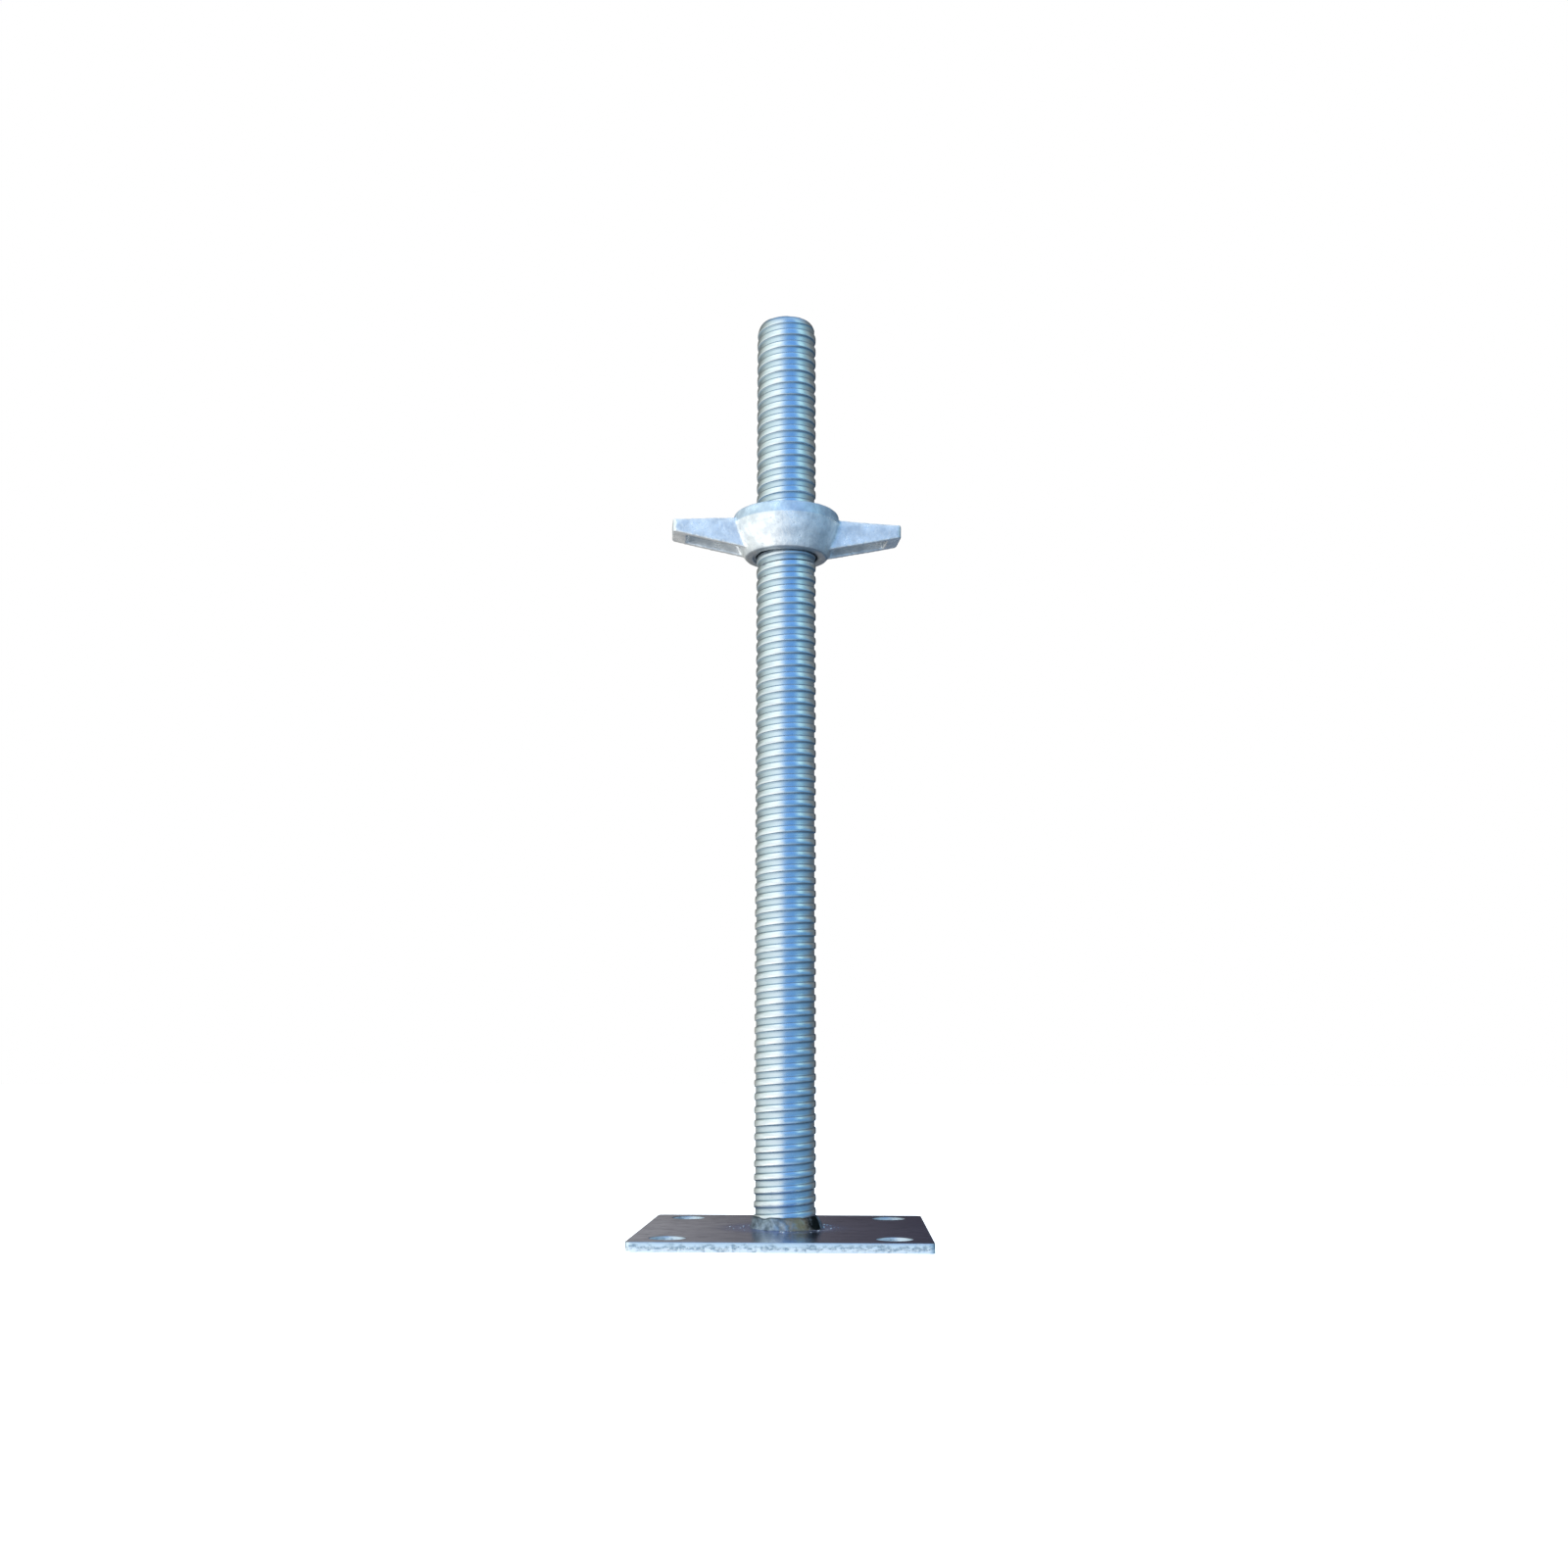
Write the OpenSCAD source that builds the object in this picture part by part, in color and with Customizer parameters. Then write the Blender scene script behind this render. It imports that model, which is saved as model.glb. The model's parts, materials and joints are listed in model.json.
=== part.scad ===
// Scaffold base jack: a hollow screw with a right-hand thread rolled along its whole length,
// welded to a square base plate, and a cast wing nut that carries the scaffold's leg.
// Sizes are in millimetres. The origin is the centre of the plate's underside, +Z runs up
// the screw, and the plate's sides are square to X and Y.

/* [Base plate] */
// Side of the square plate
plate_size = 150; // [130:1:200]
// Thickness of the plate
plate_thickness = 5; // [4:0.5:10]
// Radius of the plate's upright corners
plate_corner_radius = 3; // [1:0.5:10]
// Diameter of the four holes for nails or bolts
plate_hole_diameter = 18; // [10:0.5:22]
// Distance from a hole's centre to the two nearest sides of the plate
plate_hole_inset = 19; // [14:0.5:30]

/* [Screw tube] */
// Length of the tube above the plate
screw_length = 500; // [300:10:700]
// Diameter over the thread's crests
screw_diameter = 33; // [28:0.5:40]
// Travel of one full turn
thread_pitch = 7; // [6:0.25:10]
// Height of the thread, from root to crest
thread_depth = 1.2; // [0.8:0.1:2.2]
// Slope of the thread's flanks, from square to the screw
thread_flank_angle = 28; // [15:1:35]
// Wall of the tube under the thread's root
tube_wall = 2.9; // [1.5:0.1:5]
// How far the rounded top end draws in
nose_inset = 3.3; // [1:0.1:3.4]
// Length of the rounded top end
nose_length = 9; // [3:0.5:12]

/* [Foot weld] */
// Height of the weld up the tube
weld_height = 6.5; // [4:0.5:9]
// Width of the weld on the plate
weld_width = 6; // [4:0.5:9]
// Unevenness of the weld bead, as a share of its size
weld_ripple = 0.1; // [0:0.01:0.15]

/* [Wing nut body] */
// Distance from the screw's top end down to the nut's seat
nut_drop = 112; // [60:1:220]
// Running clearance between the screw's crests and the nut's bore, on the radius
nut_clearance = 0.3; // [0.2:0.05:0.8]
// Wall of the nut at its rim, from the bore
nut_rim_wall = 13.2; // [10:0.1:20]
// Wall of the nut at its lower end, from the bore
nut_foot_wall = 6.2; // [4:0.1:9]
// Height of the rim's upright band
nut_rim_height = 6.4; // [3:0.1:10]
// Height of the conical part below the rim
nut_cone_height = 18; // [12:0.5:30]
// How far the rim draws in from its lower edge to the seat
nut_rim_draft = 0.6; // [0:0.1:2]
// Swell of the cone's side beyond a straight line
nut_cone_swell = 0.9; // [0:0.1:2]
// Bevel at both mouths of the bore
nut_bore_bevel = 1.2; // [0.5:0.1:2.5]
// Angle that the nut is turned on the screw
nut_turn = 7; // [-45:1:45]

/* [Wing nut wings] */
// Distance from tip to tip
wing_span = 127; // [100:1:160]
// Width of a wing, square to its length
wing_width = 20; // [14:0.5:24]
// Height of a wing at its tip
wing_tip_height = 7; // [5:0.5:10]
// Height of a wing where it meets the rim
wing_root_height = 15.8; // [12:0.2:17]
// How far a wing's top stands above the rim's lower edge
wing_lift = 2.4; // [0:0.1:4]
// Drop of a wing's top from the rim to the tip
wing_top_drop = 2; // [0:0.1:4]
// Wall of the channel under a wing
wing_wall = 3.2; // [2.5:0.1:4]
// Solid stretch between the channel and the wing's tip
wing_tip_wall = 8; // [3:0.5:15]
// Width of the bevel along a wing's upper edges
wing_bevel_width = 1.4; // [0.5:0.1:3]
// Height of the bevel along a wing's upper edges
wing_bevel_height = 3.4; // [1:0.1:4]
// Radius of a wing's corners at the tip
wing_corner_radius = 2.5; // [1:0.5:4]

/* [Hidden] */
$fn = 96;
eps = 0.01;

// Screw
crest_r = screw_diameter / 2;
root_r = crest_r - thread_depth;
tube_bore_r = root_r - tube_wall;
screw_top = plate_thickness + screw_length;
flank = thread_depth * tan(thread_flank_angle);
land = (thread_pitch - 2 * flank) / 2;
// Heights of the four edges of one turn: the crest's two, then the root's two
turn_edges = [0, land, land + flank, 2 * land + flank];
turns = screw_length / thread_pitch;
// A longer screw gets fewer sides, so that its mesh stays light
facet_limit = 12000;
screw_sides = max(12, min(20, floor(facet_limit / (8 * turns))));
side_angle = 360 / screw_sides;
screw_rows = 4 * (ceil(turns) + 3);

// Weld
weld_sides = 3 * screw_sides;
weld_steps = 4;

// Nut
nut_bore_r = crest_r + nut_clearance;
nut_rim_r = nut_bore_r + nut_rim_wall;
nut_foot_r = nut_bore_r + nut_foot_wall;
nut_seat_z = screw_top - nut_drop;
nut_rim_z = nut_seat_z - nut_rim_height;
nut_foot_z = nut_rim_z - nut_cone_height;
nut_rim_bevel = 0.8;
nut_foot_bevel = 1.2;
wing_reach = wing_span / 2;
// A wing's top stays under the bevel at the seat
wing_top_lift = min(wing_lift, nut_rim_height - nut_rim_bevel - 0.2);

// --- Base plate ---------------------------------------------------------------------------

module rounded_plate(side, thickness, corner) {
    inner = side - 2 * corner;
    translate([-side / 2, -inner / 2, 0]) cube([side, inner, thickness]);
    translate([-inner / 2, -side / 2, 0]) cube([inner, side, thickness]);
    for (x = [-1, 1], y = [-1, 1])
        translate([x * inner / 2, y * inner / 2, 0]) cylinder(r = corner, h = thickness);
}

module base_plate() {
    hole_at = plate_size / 2 - plate_hole_inset;
    color("slategray")
    difference() {
        rounded_plate(plate_size, plate_thickness, plate_corner_radius);
        for (x = [-1, 1], y = [-1, 1])
            translate([x * hole_at, y * hole_at, -1])
                cylinder(d = plate_hole_diameter, h = plate_thickness + 2);
    }
}

// --- Screw tube ---------------------------------------------------------------------------

// Radius of the thread at a height above the start of its crest
function thread_r(height) =
    let (h = height - thread_pitch * floor(height / thread_pitch))
    h <= land ? crest_r
    : h <= land + flank ? crest_r - thread_depth * (h - land) / flank
    : h <= 2 * land + flank ? root_r
    : root_r + thread_depth * (h - 2 * land - flank) / flank;

// Radius of the rounded top end, at a distance below the tip
function nose_r(below) =
    let (inset = min(nose_inset, thread_depth + tube_wall - 0.6))
    let (t = 1 - min(1, below / nose_length))
    crest_r - inset * (1 - sqrt(1 - t * t));

// Height of row m on side i, before the ends are cut square: the rows climb with the turn
function row_z(i, m) =
    thread_pitch * (floor(m / 4) - 2 + i / screw_sides) + turn_edges[m % 4];

// The tube's foot, behind the weld, has no thread
function screw_r(z, i) =
    z <= weld_height - eps ? crest_r
    : min(thread_r(z - thread_pitch * i / screw_sides), nose_r(screw_length - z));

// The last row at or under the foot, and the first at or over the tip
function first_row(i) = max([for (m = [0:screw_rows]) if (row_z(i, m) <= 0) m]);
function last_row(i) = min([for (m = [0:screw_rows]) if (row_z(i, m) >= screw_length) m]);

module threaded_rod() {
    firsts = [for (i = [0:screw_sides - 1]) first_row(i)];
    lasts = [for (i = [0:screw_sides - 1]) last_row(i)];
    stride = screw_rows + 1;
    points = [
        for (i = [0:screw_sides - 1], m = [0:screw_rows])
            let (z = max(0, min(screw_length, row_z(i, m))))
            let (r = screw_r(z, i), a = i * side_angle)
            [r * cos(a), r * sin(a), z]
    ];
    // Going once round, the rows have climbed by one turn, so the last side meets row m + 4
    function at(i, m) =
        i < screw_sides
        ? i * stride + max(firsts[i], min(lasts[i], m))
        : max(firsts[0], min(lasts[0], m + 4));
    skin = [
        for (i = [0:screw_sides - 1], m = [-4:screw_rows])
            let (a = at(i, m), b = at(i + 1, m), c = at(i + 1, m + 1), d = at(i, m + 1))
            each a == d && b == c ? []
                : a == d ? [[a, c, b]]
                : b == c ? [[a, d, b]]
                : [[a, c, b], [a, d, c]]
    ];
    foot = [for (i = [0:screw_sides - 1]) at(i, -4)];
    tip = [for (i = [screw_sides - 1:-1:0]) at(i, screw_rows)];
    polyhedron(points = points, faces = concat(skin, [foot], [tip]));
}

module screw_tube() {
    color("lightsteelblue")
    translate([0, 0, plate_thickness])
    difference() {
        threaded_rod();
        translate([0, 0, -1]) cylinder(r = tube_bore_r, h = screw_length + 2);
    }
}

// --- Foot weld ----------------------------------------------------------------------------

// Distance from the axis to the flat side of the tube's foot, at an angle
function foot_r(a) =
    let (off = a - side_angle * floor(a / side_angle) - side_angle / 2)
    crest_r * cos(side_angle / 2) / cos(off);

// Size of the bead round the tube: it swells and thins as the welder's hand moved
function bead(a) = 1 + weld_ripple * (0.6 * sin(9 * a) + 0.4 * sin(4 * a + 50));

module foot_weld() {
    stride = weld_steps + 2;
    points = [
        for (s = [0:weld_sides - 1])
            let (a = s * 360 / weld_sides, size = bead(a), inner = foot_r(a))
            each concat(
                [[inner * cos(a), inner * sin(a), 0]],
                [for (k = [0:weld_steps])
                    let (t = 90 * k / weld_steps)
                    let (r = inner + weld_width * size * pow(cos(t), 1.25))
                    let (z = (weld_height - eps) * min(1, size) * pow(sin(t), 1.25))
                    [r * cos(a), r * sin(a), z]]
            )
    ];
    faces = [
        for (s = [0:weld_sides - 1], k = [0:stride - 1])
            let (next = (s + 1) % weld_sides, up = (k + 1) % stride)
            let (a = s * stride + k, b = next * stride + k)
            let (c = next * stride + up, d = s * stride + up)
            each [[a, d, c], [a, c, b]]
    ];
    color("dimgray")
    translate([0, 0, plate_thickness])
        polyhedron(points = points, faces = faces);
}

// --- Wing nut -----------------------------------------------------------------------------

// Radius of the cone's side at a share of the way down from the rim
function cone_r(t) = nut_rim_r + (nut_foot_r - nut_rim_r) * t + nut_cone_swell * sin(180 * t);

module nut_body() {
    cone_steps = 6;
    side = [
        for (k = [0:cone_steps - 1])
            let (t = k / cone_steps)
            [cone_r(t), nut_rim_z - nut_cone_height * t]
    ];
    rotate_extrude()
    polygon(concat(
        [
            [nut_bore_r + nut_bore_bevel, nut_seat_z],
            [nut_rim_r - nut_rim_draft - nut_rim_bevel, nut_seat_z],
            [nut_rim_r - nut_rim_draft, nut_seat_z - nut_rim_bevel]
        ],
        side,
        [
            [nut_foot_r + nut_foot_bevel / 2, nut_foot_z + nut_foot_bevel],
            [nut_foot_r - nut_foot_bevel / 2, nut_foot_z],
            [nut_bore_r + nut_bore_bevel, nut_foot_z],
            [nut_bore_r, nut_foot_z + nut_bore_bevel],
            [nut_bore_r, nut_seat_z - nut_bore_bevel]
        ]
    ));
}

// Height of a wing's top and of its lower edge, at a distance from the axis
wing_run = wing_reach - nut_rim_r;
wing_rise = wing_root_height - wing_top_drop - wing_tip_height;
function wing_top_z(x) = -wing_top_drop * (x - nut_rim_r) / wing_run;
function wing_base_z(x) = -wing_root_height + wing_rise * (x - nut_rim_r) / wing_run;

// Side view of a wing, from inside the nut's body to the tip
module wing_side() {
    start = nut_bore_r + 2;
    polygon([
        [start, wing_top_z(start)],
        [wing_reach, wing_top_z(wing_reach)],
        [wing_reach, wing_base_z(wing_reach)],
        [start, wing_base_z(start)]
    ]);
}

// Side view of the channel under a wing, which runs out through the wing's lower edge
module channel_side() {
    start = nut_bore_r + 2;
    end = wing_reach - wing_tip_wall;
    polygon([
        [start, wing_top_z(start) - wing_wall],
        [end - wing_wall / 2, wing_top_z(end) - wing_wall],
        [end, wing_base_z(end)],
        [end, -2 * nut_cone_height],
        [start, -2 * nut_cone_height]
    ]);
}

// End view of a wing: upright sides under two sloped upper edges
module wing_end() {
    half = wing_width / 2;
    base = nut_foot_bevel - nut_cone_height - wing_top_lift;
    top = wing_top_z(nut_bore_r);
    polygon([
        [-half, base],
        [half, base],
        [half, -wing_bevel_height],
        [half - wing_bevel_width, top],
        [-half + wing_bevel_width, top],
        [-half, -wing_bevel_height]
    ]);
}

// Plan view of a wing: round corners at the tip
module wing_plan() {
    half = wing_width / 2;
    translate([nut_bore_r, -half]) square([wing_reach - nut_bore_r - wing_corner_radius, wing_width]);
    translate([nut_bore_r, -half + wing_corner_radius])
        square([wing_reach - nut_bore_r, wing_width - 2 * wing_corner_radius]);
    for (y = [-1, 1])
        translate([wing_reach - wing_corner_radius, y * (half - wing_corner_radius)])
            circle(r = wing_corner_radius);
}

// One wing along +X, with its top at height 0 by the rim. Its underside is an open channel.
module wing() {
    channel = wing_width - 2 * wing_wall;
    difference() {
        intersection() {
            rotate([90, 0, 0]) translate([0, 0, -wing_width]) linear_extrude(2 * wing_width) wing_side();
            rotate([90, 0, 90]) linear_extrude(wing_reach + 1) wing_end();
            translate([0, 0, -2 * nut_cone_height]) linear_extrude(3 * nut_cone_height) wing_plan();
        }
        rotate([90, 0, 0]) translate([0, 0, -channel / 2]) linear_extrude(channel) channel_side();
    }
}

module wing_nut() {
    color("silver")
    rotate([0, 0, nut_turn])
    difference() {
        union() {
            nut_body();
            for (side = [0, 180])
                rotate([0, 0, side]) translate([0, 0, nut_rim_z + wing_top_lift]) wing();
        }
        translate([0, 0, nut_foot_z - 1])
            cylinder(r = nut_bore_r, h = nut_rim_height + nut_cone_height + 2);
    }
}

base_plate();
screw_tube();
foot_weld();
wing_nut();
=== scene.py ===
import bmesh
import bpy
import json
import math
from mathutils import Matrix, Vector, noise


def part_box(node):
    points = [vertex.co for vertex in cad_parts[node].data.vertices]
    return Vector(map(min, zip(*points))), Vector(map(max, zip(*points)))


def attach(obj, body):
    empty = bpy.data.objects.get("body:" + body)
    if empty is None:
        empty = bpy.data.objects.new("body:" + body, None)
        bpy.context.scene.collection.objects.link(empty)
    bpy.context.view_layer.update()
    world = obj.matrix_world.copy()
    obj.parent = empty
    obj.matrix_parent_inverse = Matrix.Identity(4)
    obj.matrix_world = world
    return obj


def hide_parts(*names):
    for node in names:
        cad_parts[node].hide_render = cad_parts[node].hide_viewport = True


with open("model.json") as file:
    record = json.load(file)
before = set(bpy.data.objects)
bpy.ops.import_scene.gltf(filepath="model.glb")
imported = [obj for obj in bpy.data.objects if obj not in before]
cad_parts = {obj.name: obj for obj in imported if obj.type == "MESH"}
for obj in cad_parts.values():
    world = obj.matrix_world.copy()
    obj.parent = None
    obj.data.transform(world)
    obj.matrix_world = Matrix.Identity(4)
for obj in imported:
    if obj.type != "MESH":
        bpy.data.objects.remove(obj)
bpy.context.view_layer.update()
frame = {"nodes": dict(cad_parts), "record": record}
scene = bpy.context.scene
mm = 0.001

plateLow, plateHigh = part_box("base_plate")
tubeLow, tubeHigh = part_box("screw_tube")
weldLow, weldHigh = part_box("foot_weld")
nutLow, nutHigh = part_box("wing_nut")
crestRadius = tubeHigh.x  # the screw stands on the Z axis
mounts = {mount["name"]: mount for mount in frame["record"]["mounts"]}
print("frame loaded:", sorted(frame["nodes"]))


# Camera: low, close, a little to the right of square on, tilted up
cameraValues = {
    "distance": 0.88,  # metres from the screw
    "azimuth": 2.0,  # degrees, as are tilt and roll
    "height": 0.0882,
    "tilt": 7.71,
    "roll": 0.12,
    "lens": 37.55,
    "sensor": 36,
    "shiftX": -0.001,
    "shiftY": 0.04,
}


def makeCamera(values):
    data = bpy.data.cameras.new("camera")
    data.lens = values["lens"]
    data.sensor_width = values["sensor"]
    data.shift_x = values["shiftX"]
    data.shift_y = values["shiftY"]
    camera = bpy.data.objects.new("camera", data)
    turn = math.radians(values["azimuth"])
    camera.location = (
        values["distance"] * math.sin(turn),
        -values["distance"] * math.cos(turn),
        values["height"],
    )
    camera.rotation_euler = (math.radians(90 + values["tilt"]), 0, turn)
    camera.rotation_euler.rotate_axis("Z", math.radians(values["roll"]))
    scene.collection.objects.link(camera)
    scene.camera = camera


makeCamera(cameraValues)
print("camera set")


# Small helpers for shader and geometry trees

def plug(tree, value, socket):
    if isinstance(value, bpy.types.NodeSocket):
        tree.links.new(value, socket)
    elif isinstance(value, bpy.types.Node):
        tree.links.new(value.outputs[0], socket)
    else:
        socket.default_value = value


def addNode(tree, kind, inputs=None, **settings):
    node = tree.nodes.new(kind)
    for key, value in settings.items():
        setattr(node, key, value)
    for key, value in (inputs or {}).items():
        plug(tree, value, node.inputs[key])
    return node


def mathNode(tree, operation, first, second=0.0, clamp=False):
    inputs = {0: first, 1: second}
    return addNode(tree, "ShaderNodeMath", inputs, operation=operation, use_clamp=clamp).outputs[0]


def multiply(tree, first, second):
    return mathNode(tree, "MULTIPLY", first, second)


def mapRange(tree, value, low, high, toLow=0.0, toHigh=1.0, smooth=False):
    inputs = {0: value, 1: low, 2: high, 3: toLow, 4: toHigh}
    kind = "SMOOTHSTEP" if smooth else "LINEAR"
    return addNode(tree, "ShaderNodeMapRange", inputs, interpolation_type=kind).outputs[0]


def mixColour(tree, factor, first, second, blend="MIX"):
    node = addNode(tree, "ShaderNodeMix", data_type="RGBA", blend_type=blend)
    plug(tree, factor, node.inputs[0])
    plug(tree, first, node.inputs[6])
    plug(tree, second, node.inputs[7])
    return node.outputs[2]


def cloudNode(tree, coords, size, stretch=(1, 1, 1), detail=4.0, rough=0.55):
    # noise whose lumps are about one size across, drawn out or squeezed along the axes
    squeezed = addNode(tree, "ShaderNodeMapping", {"Vector": coords, "Scale": stretch})
    inputs = {"Vector": squeezed, "Scale": 1 / size, "Detail": detail, "Roughness": rough}
    return addNode(tree, "ShaderNodeTexNoise", inputs).outputs[0]


def fromAxis(tree, axes):
    # distance from the upright axis through the origin
    across = addNode(tree, "ShaderNodeCombineXYZ", {0: axes.outputs[0], 1: axes.outputs[1]})
    return addNode(tree, "ShaderNodeVectorMath", {0: across}, operation="LENGTH").outputs["Value"]


def bumpNode(tree, height, depth, under=None):
    # laid over another bump, if one is given
    node = addNode(tree, "ShaderNodeBump", {"Strength": 1.0, "Distance": depth, "Height": height})
    if under is not None:
        plug(tree, under, node.inputs["Normal"])
    return node.outputs[0]


def newMaterial(name, metallic=1.0):
    material = bpy.data.materials.new(name)
    material.use_nodes = True
    tree = material.node_tree
    shader = tree.nodes["Principled BSDF"]
    shader.inputs["Metallic"].default_value = metallic
    coords = addNode(tree, "ShaderNodeTexCoord").outputs["Object"]
    return material, tree, shader, coords


def attributeNode(tree, name):
    return addNode(tree, "ShaderNodeAttribute", attribute_name=name).outputs["Fac"]


# Screw: one sheared grid wrapped round the axis, whose rows climb one pitch a turn

screwValues = {
    "pitch": 7 * mm,
    "threadDepth": 0.85 * mm,
    "startSlope": 28,  # degrees: with the depth, it sets how far below the plate's top a crest starts
    "flankShare": 0.075,  # of the pitch, with its rounded corners
    "crown": 0.16 * mm,  # how much the crest is domed
    "wall": 4.1 * mm,  # from crest to bore
    "noseLength": 9 * mm,
    "noseInset": 3.3 * mm,
    "sides": 84,
    "rowsEachTurn": 14,
    "rowCrowding": 0.72,  # draws the rows towards the flanks
    "wallRows": 12,
    "shadeAbove": 0.035,  # how far the painted shade reaches past a flank, of the pitch
    "shadeUnder": 0.14,
    "shadeAboveWeight": 0.85,
    "colours": ((0.76, 0.80, 0.84, 1), (0.92, 0.94, 0.95, 1)),
    "grooveShadeColour": (0.52, 0.62, 0.70, 1),
    "flankShadeColour": (0.30, 0.41, 0.50, 1),
}
startDrop = screwValues["threadDepth"] * math.tan(math.radians(screwValues["startSlope"])) / 2
threadStart = plateHigh.z - startDrop


def groupInputs(tree, wanted):
    for name, kind, value in wanted:
        socket = tree.interface.new_socket(name, in_out="INPUT", socket_type=kind)
        if value is not None:
            socket.default_value = value
    tree.interface.new_socket("Geometry", in_out="OUTPUT", socket_type="NodeSocketGeometry")
    return tree.nodes.new("NodeGroupInput").outputs


def threadTree(name, values):
    # a thread's skin between two heights, and a plain wall on its other side
    tree = bpy.data.node_groups.new(name, "GeometryNodeTree")
    number, whole = "NodeSocketFloat", "NodeSocketInt"
    given = groupInputs(tree, [
        ("Low", number, 0.0),
        ("High", number, 0.1),
        ("Thread Start", number, threadStart),
        ("Crest Radius", number, crestRadius),
        ("Thread Depth", number, values["threadDepth"]),
        ("Crown", number, 0.0),
        ("Pitch", number, values["pitch"]),
        ("Flank Share", number, values["flankShare"]),
        ("Nose Length", number, values["noseLength"]),
        ("Nose Inset", number, 0.0),
        ("Sides", whole, values["sides"]),
        ("Rows Each Turn", whole, values["rowsEachTurn"]),
        ("Row Crowding", number, values["rowCrowding"]),
        ("Wall Radius", number, crestRadius - values["wall"]),
        ("Wall Rows", whole, values["wallRows"]),
        ("Shade Above", number, values["shadeAbove"]),
        ("Shade Under", number, values["shadeUnder"]),
        ("Shade Above Weight", number, values["shadeAboveWeight"]),
        ("Material", "NodeSocketMaterial", None),
    ])

    def plus(first, second):
        return mathNode(tree, "ADD", first, second)

    def minus(first, second):
        return mathNode(tree, "SUBTRACT", first, second)

    def times(first, second):
        return multiply(tree, first, second)

    def over(first, second):
        return mathNode(tree, "DIVIDE", first, second)

    length = minus(given["High"], given["Low"])
    # the middle of each flank lies a quarter turn from the crest's
    halfFlankShare = times(given["Flank Share"], 0.5)
    flankTop = minus(0.25, halfFlankShare)
    flankFoot = plus(0.25, halfFlankShare)

    def profileAt(z, around):
        # the thread's radius, how far the point lies from the crest's middle, in turns, how deep
        # it is in the groove, and whether it is under the crest or above
        phase = minus(over(minus(z, given["Thread Start"]), given["Pitch"]), around)
        # a quarter turn puts the crest's middle at a half, and the whole turns keep it above zero
        offCrest = minus(mathNode(tree, "FRACT", plus(phase, 64.25)), 0.5)
        fromCrest = mathNode(tree, "ABSOLUTE", offCrest)
        isUnder = mathNode(tree, "LESS_THAN", offCrest, 0.0)
        groove = mapRange(tree, fromCrest, flankTop, flankFoot, smooth=True)
        domed = mathNode(tree, "MINIMUM", mathNode(tree, "POWER", times(fromCrest, 4.0), 2.0), 1.0)
        sunk = times(groove, minus(given["Thread Depth"], given["Crown"]))
        radius = minus(minus(given["Crest Radius"], times(domed, given["Crown"])), sunk)
        return radius, fromCrest, groove, isUnder

    # rows are evenly spread in turns, then drawn towards the flanks
    startTurns = over(minus(given["Low"], given["Thread Start"]), given["Pitch"])
    turns = plus(mathNode(tree, "CEIL", over(length, given["Pitch"])), 3.0)
    grid = addNode(tree, "GeometryNodeMeshGrid", {
        "Size X": 1.0,
        "Size Y": 1.0,
        "Vertices X": plus(given["Sides"], 1.0),
        "Vertices Y": plus(times(turns, given["Rows Each Turn"]), 1.0),
    })
    spot = addNode(tree, "ShaderNodeSeparateXYZ", {0: addNode(tree, "GeometryNodeInputPosition")})
    around = plus(spot.outputs[0], 0.5)
    up = plus(spot.outputs[1], 0.5)
    evenRow = plus(minus(mathNode(tree, "FLOOR", startTurns), 1.0), times(up, turns))
    wave = mathNode(tree, "SINE", times(evenRow, 4 * math.pi))
    row = minus(evenRow, times(times(wave, given["Row Crowding"]), 1 / (4 * math.pi)))
    free = times(minus(plus(row, around), startTurns), given["Pitch"])
    height = mathNode(tree, "MAXIMUM", mathNode(tree, "MINIMUM", free, length), 0.0)
    z = plus(height, given["Low"])
    threadRadius, fromCrest, groove, isUnder = profileAt(z, around)
    # the nose is a quarter of an ellipse
    below = mathNode(tree, "DIVIDE", minus(length, height), given["Nose Length"], clamp=True)
    left = minus(1.0, below)
    fall = minus(1.0, mathNode(tree, "SQRT", minus(1.0, times(left, left))))
    noseRadius = minus(given["Crest Radius"], times(fall, given["Nose Inset"]))
    radius = mathNode(tree, "MINIMUM", threadRadius, noseRadius)
    angle = times(around, 2 * math.pi)
    cosine, sine = mathNode(tree, "COSINE", angle), mathNode(tree, "SINE", angle)
    place = addNode(tree, "ShaderNodeCombineXYZ", {0: times(radius, cosine), 1: times(radius, sine), 2: z})
    # painted shade along each flank and its foot, strongest under the crest; the same mask also makes the
    # flanks rougher
    onFlank = mapRange(tree, fromCrest, minus(flankTop, 0.01), 0.25, smooth=True)
    reach = mapRange(tree, isUnder, 0.0, 1.0, given["Shade Above"], given["Shade Under"])
    offFlank = mapRange(tree, fromCrest, flankFoot, plus(flankFoot, reach), 1.0, 0.0, smooth=True)
    weight = mapRange(tree, isUnder, 0.0, 1.0, given["Shade Above Weight"], 1.0)
    corner = times(times(onFlank, offFlank), weight)
    marked = addNode(tree, "GeometryNodeStoreNamedAttribute", {
        "Geometry": grid.outputs["Mesh"], "Name": "groove", "Value": groove}, data_type="FLOAT")
    marked = addNode(tree, "GeometryNodeStoreNamedAttribute", {
        "Geometry": marked, "Name": "corner", "Value": corner}, data_type="FLOAT")
    skin = addNode(tree, "GeometryNodeSetPosition", {"Geometry": marked, "Position": place})

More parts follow.
